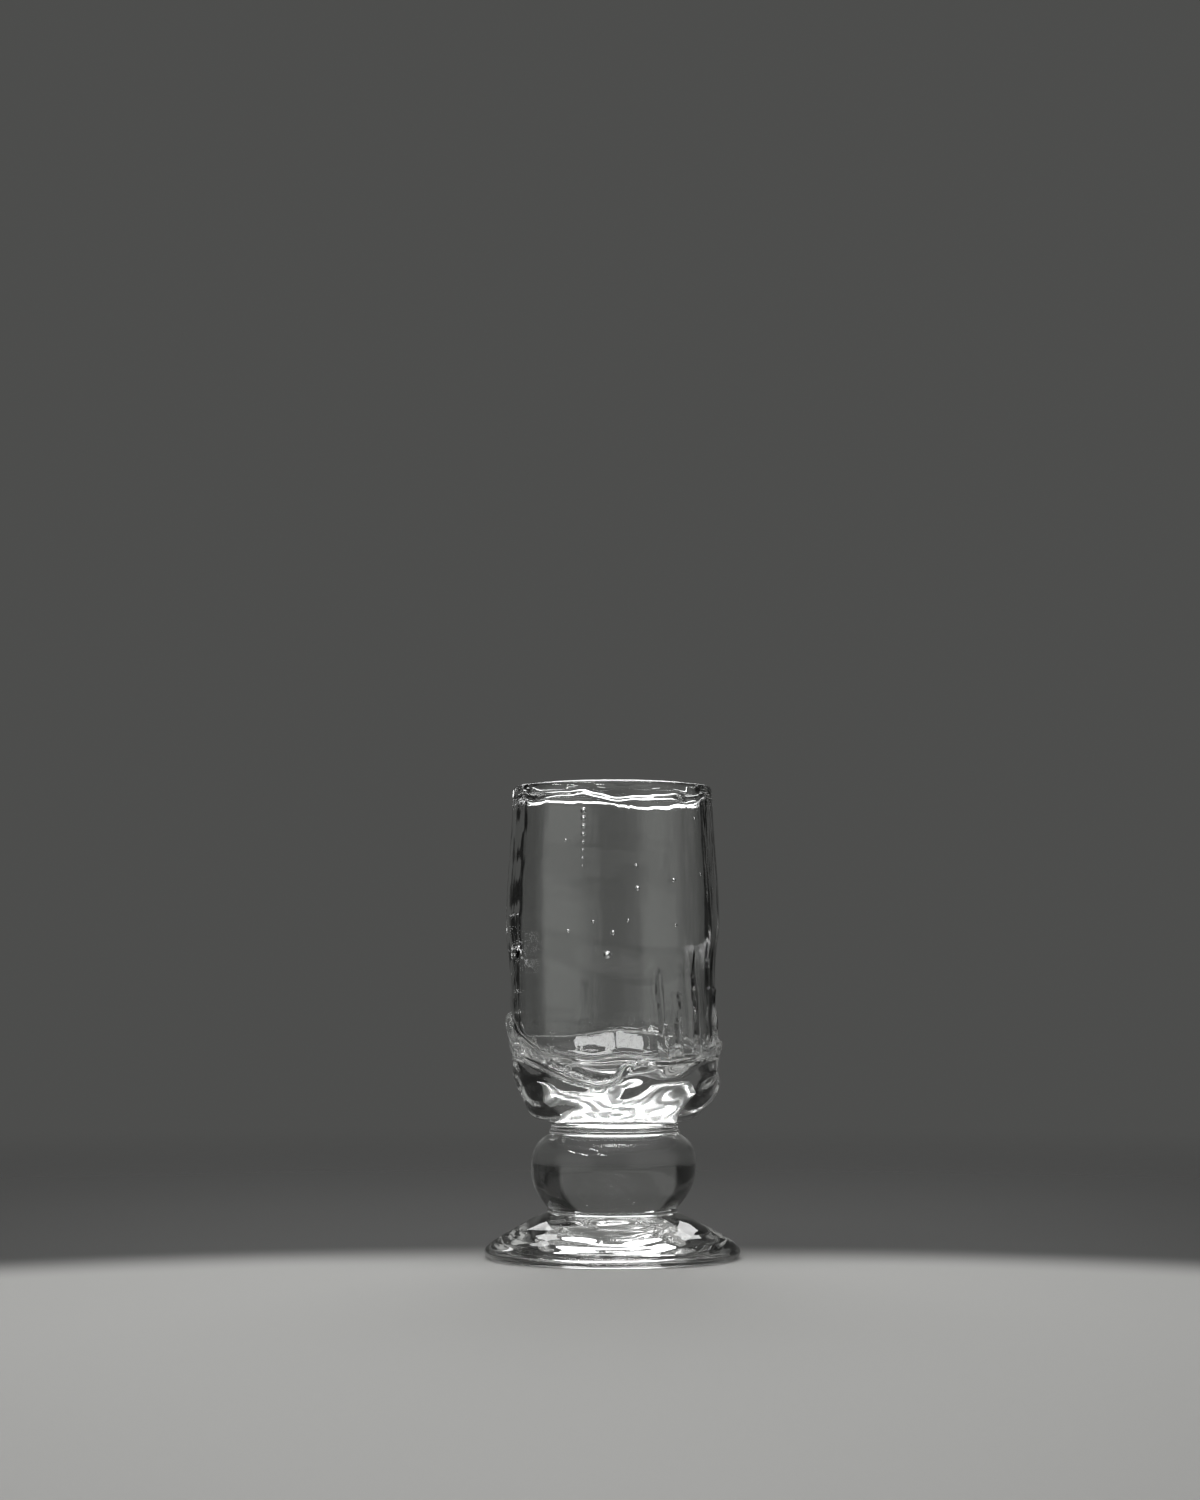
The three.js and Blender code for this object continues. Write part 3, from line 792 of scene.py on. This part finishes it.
def rim_points():
    """Points of the rim, from the outside over the crown to the inside."""
    crown = bowl_radius(BEARINGS, RIM_TOP - RIM_OUTER_ROUNDING) - RIM_OUTER_ROUNDING
    inset, drop = rim_outline()
    outer = spots(crown + RIM_OUTER_ROUNDING - inset, RIM_TOP - drop)
    fall = np.linspace(0, math.pi / 2, RIM_INNER_ROWS)[-2:0:-1, None]
    height = RIM_TOP - RIM_INNER_ROUNDING + RIM_INNER_ROUNDING * np.sin(fall)
    radius = crown + (cavity_radius(BEARINGS, height) - crown) * np.cos(fall)
    return np.concatenate([outer, spots(radius, height)])


def inside_points():
    """Points of the hollow, from under the rim to the edge of its floor."""
    floor = BOWL_BASE + CAVITY_FLOOR
    bead_end = RIM_TOP - 2 * RIM_BEAD_HEIGHT
    bead = np.arange(RIM_TOP - RIM_INNER_ROUNDING, bead_end, -FINE_ROW)
    wall = np.arange(bead_end, floor + CAVITY_CORNER, -INSIDE_ROW)
    corner = floor + corner_heights(CAVITY_CORNER, CORNER_ROWS)[::-1]
    height = np.concatenate([bead, wall, corner])[:, None]
    return spots(cavity_radius(BEARINGS, height), height)


def bowl_skin(outside, slots):
    """Skin of the bowl: its outside, on which others are laid, the rim, the hollow and the bubbles."""
    skin = Skin()
    numbers = skin.add_points(np.concatenate([outside, rim_points(), inside_points()]))
    all_slots = np.full((len(numbers) - 1, COLUMNS), GLASS)
    all_slots[: len(slots)] = slots
    skin.add_quads(numbers, all_slots)
    skin.add_fan(numbers[0], BOWL_BASE, SEAM, up=False)
    skin.add_fan(numbers[-1], BOWL_BASE + CAVITY_FLOOR, GLASS, up=True)
    for seed in all_seeds():
        add_seed(skin, *seed)
    add_bubble(skin, BASE_FILM["middle"], film_shape(), FILM)
    return skin


def all_seeds():
    """The single seeds and those of the string, as distance to the right, height and radius."""
    string = SEED_STRING
    heights = np.linspace(*string["heights"], string["count"])
    radii = np.linspace(*string["radii"], string["count"])
    return SEEDS + [(string["right"], z, r) for z, r in zip(heights, radii)]


def add_seed(skin, right, height, radius):
    """A small bubble in the middle of the front wall."""
    bearing = math.asin(right / BOWL_BELLY_RADIUS)
    depth = (bowl_radius(bearing, height) + cavity_radius(bearing, height)) / 2
    middle = (lean(height) + depth * math.sin(bearing), -depth * math.cos(bearing), height)
    shape = bmesh.new()
    bmesh.ops.create_icosphere(shape, subdivisions=SEED_SUBDIVISIONS, radius=radius)
    add_bubble(skin, middle, shape, GLASS)


def film_shape():
    """The long bubble in the base: a flat lens with slanting streaks."""
    shape = bmesh.new()
    size = Matrix.Diagonal((*BASE_FILM["half_sizes"], 1))
    bmesh.ops.create_icosphere(shape, subdivisions=FILM_SUBDIVISIONS, radius=1, matrix=size)
    for vert in shape.verts:
        right, back, _ = vert.co
        core = math.exp(-(((right - FILM_CORE["right"]) / FILM_CORE["width"]) ** 2))
        streaks = FILM_STREAK_HEIGHT * waves(FILM_STREAKS, right, back)
        vert.co.z += streaks - FILM_CORE["flatter"] * core * back
        vert.co.y += FILM_BEND * right * right
    shape.transform(Matrix.Rotation(math.radians(BASE_FILM["slope"]), 4, "X"))
    return shape


def add_bubble(skin, middle, shape, slot):
    """A bubble in the glass: a closed skin that faces into the bubble."""
    first = skin.add_points([np.array(middle) + np.array(vert.co) for vert in shape.verts])[0]
    for face in shape.faces:
        skin.faces.append(tuple(int(first) + vert.index for vert in reversed(face.verts)))
        skin.slots.append(slot)
    shape.free()


def jacket_skin(wall):
    """Skin of the jacket: the piece laid on the wall first, with its base and the bowl's seat."""
    skin, inner, outer = wall.skin(1)
    skin.add_fan(outer[0], JACKET_BASE, SEAM, up=False)
    skin.add_fan(inner[0], BOWL_BASE, SEAM, up=True)
    return skin


def new_material(name):
    """A new material with its node tree and shader."""
    material = bpy.data.materials.new(name)
    material.use_nodes = True
    return material, material.node_tree, material.node_tree.nodes["Principled BSDF"]


def new_glass(name):
    """A new material of plain clear glass with its node tree and shader."""
    material, tree, shader = new_material(name)
    shader.inputs["Base Color"].default_value = GLASS_COLOUR
    shader.inputs["Transmission Weight"].default_value = 1
    shader.inputs["IOR"].default_value = GLASS_IOR
    return material, tree, shader


def noise(tree, coordinates, scale, detail):
    """A noise texture at a scale per metre."""
    node = tree.nodes.new("ShaderNodeTexNoise")
    node.inputs["Scale"].default_value = scale
    node.inputs["Detail"].default_value = detail
    tree.links.new(coordinates, node.inputs["Vector"])
    return node.outputs["Fac"]


def worked_out(tree, operation, *values):
    """Result of a math node for sockets and plain numbers."""
    node = tree.nodes.new("ShaderNodeMath")
    node.operation = operation
    for socket, value in zip(node.inputs, values):
        if isinstance(value, bpy.types.NodeSocket):
            tree.links.new(value, socket)
        else:
            socket.default_value = value
    return node.outputs["Value"]


def ramp(tree, value, ends, results, interpolation="SMOOTHSTEP"):
    """A result that goes from one to the other while a value goes between two ends."""
    node = tree.nodes.new("ShaderNodeMapRange")
    node.interpolation_type = interpolation
    node.inputs["From Min"].default_value, node.inputs["From Max"].default_value = ends
    node.inputs["To Min"].default_value, node.inputs["To Max"].default_value = results
    tree.links.new(value, node.inputs["Value"])
    return node.outputs["Result"]


def glass_material():
    """Clear glass with upright cords, a faint ripple and barely uneven polish."""
    material, tree, shader = new_glass("clear_glass")
    place = tree.nodes.new("ShaderNodeTexCoord").outputs["Object"]
    stretch = tree.nodes.new("ShaderNodeMapping")
    stretch.inputs["Scale"].default_value = CORD_STRETCH
    tree.links.new(place, stretch.inputs["Vector"])
    cords = noise(tree, stretch.outputs["Vector"], *CORD_NOISE)
    ripple = noise(tree, place, *RIPPLE_NOISE)
    facing = tree.nodes.new("ShaderNodeSeparateXYZ")
    tree.links.new(tree.nodes.new("ShaderNodeNewGeometry").outputs["Normal"], facing.inputs["Vector"])
    upward = worked_out(tree, "ABSOLUTE", facing.outputs["Z"])
    strength = ramp(tree, upward, BUMP_FACING, BUMP_STRENGTH, "LINEAR")
    bump = tree.nodes.new("ShaderNodeBump")
    bump.inputs["Distance"].default_value = BUMP_DISTANCE
    tree.links.new(strength, bump.inputs["Strength"])
    tree.links.new(worked_out(tree, "ADD", cords, ripple), bump.inputs["Height"])
    tree.links.new(bump.outputs["Normal"], shader.inputs["Normal"])
    polish = noise(tree, stretch.outputs["Vector"], *POLISH_NOISE)
    roughness = ramp(tree, polish, POLISH_RANGE, POLISH_ROUGHNESS, "LINEAR")
    tree.links.new(roughness, shader.inputs["Roughness"])
    return material


def film_material():
    """The clouded glass on the long bubble in the base."""
    material, _, shader = new_glass("clouded_glass")
    shader.inputs["Roughness"].default_value = FILM_ROUGHNESS
    return material


def seam_material():
    """Inside a weld there is no surface: light goes straight on."""
    material, tree, shader = new_material("weld_seam")
    tree.nodes.remove(shader)
    clear = tree.nodes.new("ShaderNodeBsdfTransparent")
    tree.links.new(clear.outputs["BSDF"], tree.nodes["Material Output"].inputs["Surface"])
    return material


def floor_material():
    """Painted pool of light: pale about the middle, then painted dark as if the light fell off there, then
    fading out.
    """
    material, tree, shader = new_material("floor_with_painted_pool")
    shader.inputs["Roughness"].default_value = FLOOR_ROUGHNESS
    shader.inputs["Specular IOR Level"].default_value = FLOOR_GLOSS
    distance = tree.nodes.new("ShaderNodeVectorMath")
    distance.operation = "LENGTH"
    tree.links.new(tree.nodes.new("ShaderNodeTexCoord").outputs["Object"], distance.inputs[0])
    painted_pool_colour = tree.nodes.new("ShaderNodeMix")
    painted_pool_colour.data_type = "RGBA"
    painted_pool_colour.inputs["A"].default_value = FLOOR_COLOUR
    painted_pool_colour.inputs["B"].default_value = FLOOR_PAINTED_FALLOFF_COLOUR
    tree.links.new(ramp(tree, distance.outputs["Value"], FLOOR_PAINTED_FALLOFF, (0, 1)), painted_pool_colour.inputs["Factor"])
    tree.links.new(painted_pool_colour.outputs["Result"], shader.inputs["Base Color"])
    tree.links.new(ramp(tree, distance.outputs["Value"], FLOOR_FADE, (1, 0)), shader.inputs["Alpha"])
    return material


def add_piece(skin, node, materials):
    """One piece of the glass, in place of the frame's node."""
    piece = skin.make(f"glass_{node}", materials)
    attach(piece, "root")
    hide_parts(node)


def add_foot_and_stem():
    skins = {
        "foot": foot_skin(),
        "lower_merese": lower_merese_skin(),
        "knop": knop_skin(),
        "upper_merese": upper_merese_skin(),
    }
    for node, skin in skins.items():
        add_piece(skin, node, (glass, seam))


def add_bowl_and_jacket():
    """The bowl, and what is laid on it in this order: the jacket, the two trails and the tears."""
    bowl_height, jacket_height = (rows * np.ones(COLUMNS) for rows in wall_rows())
    bare = bowl_radius(BEARINGS, bowl_height)
    wall = Wall(bare, bowl_height)
    cup = jacket_cup(BEARINGS, jacket_height)
    cover = bare + jacket_thickness(BEARINGS, jacket_height, bare)
    wall.lay(np.where(jacket_height < SHARED_ROWS, cup, cover), jacket_height)
    for trail, lumps in ((LIP_TRAIL, LIP_DRIPS), (SIDE_TRAIL, SIDE_LUMPS)):
        path = np.concatenate([trail_path(trail), lumps_path(lumps)])
        wall.lay(bead_radius(path, BEARINGS, bowl_height))
    for tear in TEARS:
        wall.lay(bead_radius(tear_path(*tear), BEARINGS, bowl_height))
    add_piece(bowl_skin(spots(bare, bowl_height), wall.slots[0]), "bowl", (glass, seam, film))
    add_piece(jacket_skin(wall), "jacket", (glass, seam))
    names = ["lip_trail", "side_trail"] + [f"tear_{i + 1}" for i in range(len(TEARS))]
    for number, name in enumerate(names, start=2):
        add_piece(wall.skin(number)[0], name, (glass, seam))


def add_camera():
    """The photograph's camera: level, a little over the middle of the glass, shifted to see more above."""
    data = bpy.data.cameras.new("camera")
    data.sensor_width = CAMERA_SENSOR
    data.lens = CAMERA_LENS
    data.shift_y = CAMERA_SHIFT
    data.clip_start = CAMERA_NEAREST
    camera = bpy.data.objects.new("camera", data)
    camera.location = CAMERA_PLACE
    camera.rotation_euler = (math.pi / 2, 0, 0)
    bpy.context.scene.collection.objects.link(camera)
    bpy.context.scene.camera = camera


def add_floor():
    """A floor that is pale under the glass and in front of it, in a painted pool of light with painted
    falloff around it, and fades into the surroundings.

    It lies a hair under the foot, so that light gets between them.
    """
    mesh = bpy.data.meshes.new("floor")
    shape = bmesh.new()
    bmesh.ops.create_circle(shape, cap_ends=True, radius=FLOOR_FADE[1], segments=FLOOR_SIDES)
    shape.to_mesh(mesh)
    shape.free()
    mesh.materials.append(floor_material())
    floor = bpy.data.objects.new("floor", mesh)
    floor.location = (0, -FLOOR_FORWARD, -FLOOR_DROP)
    bpy.context.scene.collection.objects.link(floor)


def direction(bearing, elevation):
    """Direction to a bearing and an elevation in degrees, with a length of one."""
    turn, tilt = math.radians(bearing), math.radians(elevation)
    flat = math.cos(tilt)
    return flat * math.sin(turn), -flat * math.cos(turn), math.sin(tilt)


def add_lamp(name, place, size, brightness, roll=0):
    """A soft rectangular lamp that only shows in reflections and through the glass."""
    data = bpy.data.lights.new(name, "AREA")
    data.shape = "RECTANGLE"
    data.size, data.size_y = size
    data.energy = brightness * math.pi * size[0] * size[1]
    lamp = bpy.data.objects.new(name, data)
    lamp.location = place
    look = (Vector(LAMP_AIM) - Vector(place)).to_track_quat("-Z", "Y")
    lamp.rotation_euler = (look.to_matrix() @ Matrix.Rotation(math.radians(roll), 3, "Z")).to_euler()
    lamp.visible_camera = False
    bpy.context.scene.collection.objects.link(lamp)


def add_lamps():
    add_lamp("top_lamp", **TOP_LAMP)
    add_lamp("back_lamp", **BACK_LAMP)
    for number, lamp in enumerate(SPARK_LAMPS, start=1):
        place = [SPARK_DISTANCE * part for part in direction(*lamp)]
        add_lamp(f"spark_lamp_{number}", place, **SPARK)


def add_world():
    """Dark surroundings with a grey backdrop, and soft light from the front, both sides and above."""
    world = bpy.data.worlds.new("surroundings")
    bpy.context.scene.world = world
    world.use_nodes = True
    tree = world.node_tree
    looking = tree.nodes.new("ShaderNodeTexCoord").outputs["Generated"]
    total = SURROUNDINGS_LEAST
    for bearing, elevation, inner, outer, strength in SURROUNDINGS:
        nearness = tree.nodes.new("ShaderNodeVectorMath")
        nearness.operation = "DOT_PRODUCT"
        nearness.inputs[1].default_value = direction(bearing, elevation)
        tree.links.new(looking, nearness.inputs[0])
        ends = (math.cos(math.radians(outer)), math.cos(math.radians(inner)))
        glow = ramp(tree, nearness.outputs["Value"], ends, (0, strength))
        total = worked_out(tree, "ADD", total, glow)
    background = tree.nodes["Background"]
    background.inputs["Color"].default_value = SURROUNDINGS_COLOUR
    tree.links.new(total, background.inputs["Strength"])


def set_render():
    scene = bpy.context.scene
    scene.view_settings.view_transform = "Standard"
    scene.cycles.max_bounces = GLASS_BOUNCES
    scene.cycles.transmission_bounces = GLASS_BOUNCES
    scene.cycles.glossy_bounces = GLOSSY_BOUNCES
    scene.cycles.transparent_max_bounces = SEAM_BOUNCES


add_camera()
glass = glass_material()
seam = seam_material()
film = film_material()
add_foot_and_stem()
add_bowl_and_jacket()
add_floor()
add_lamps()
add_world()
set_render()
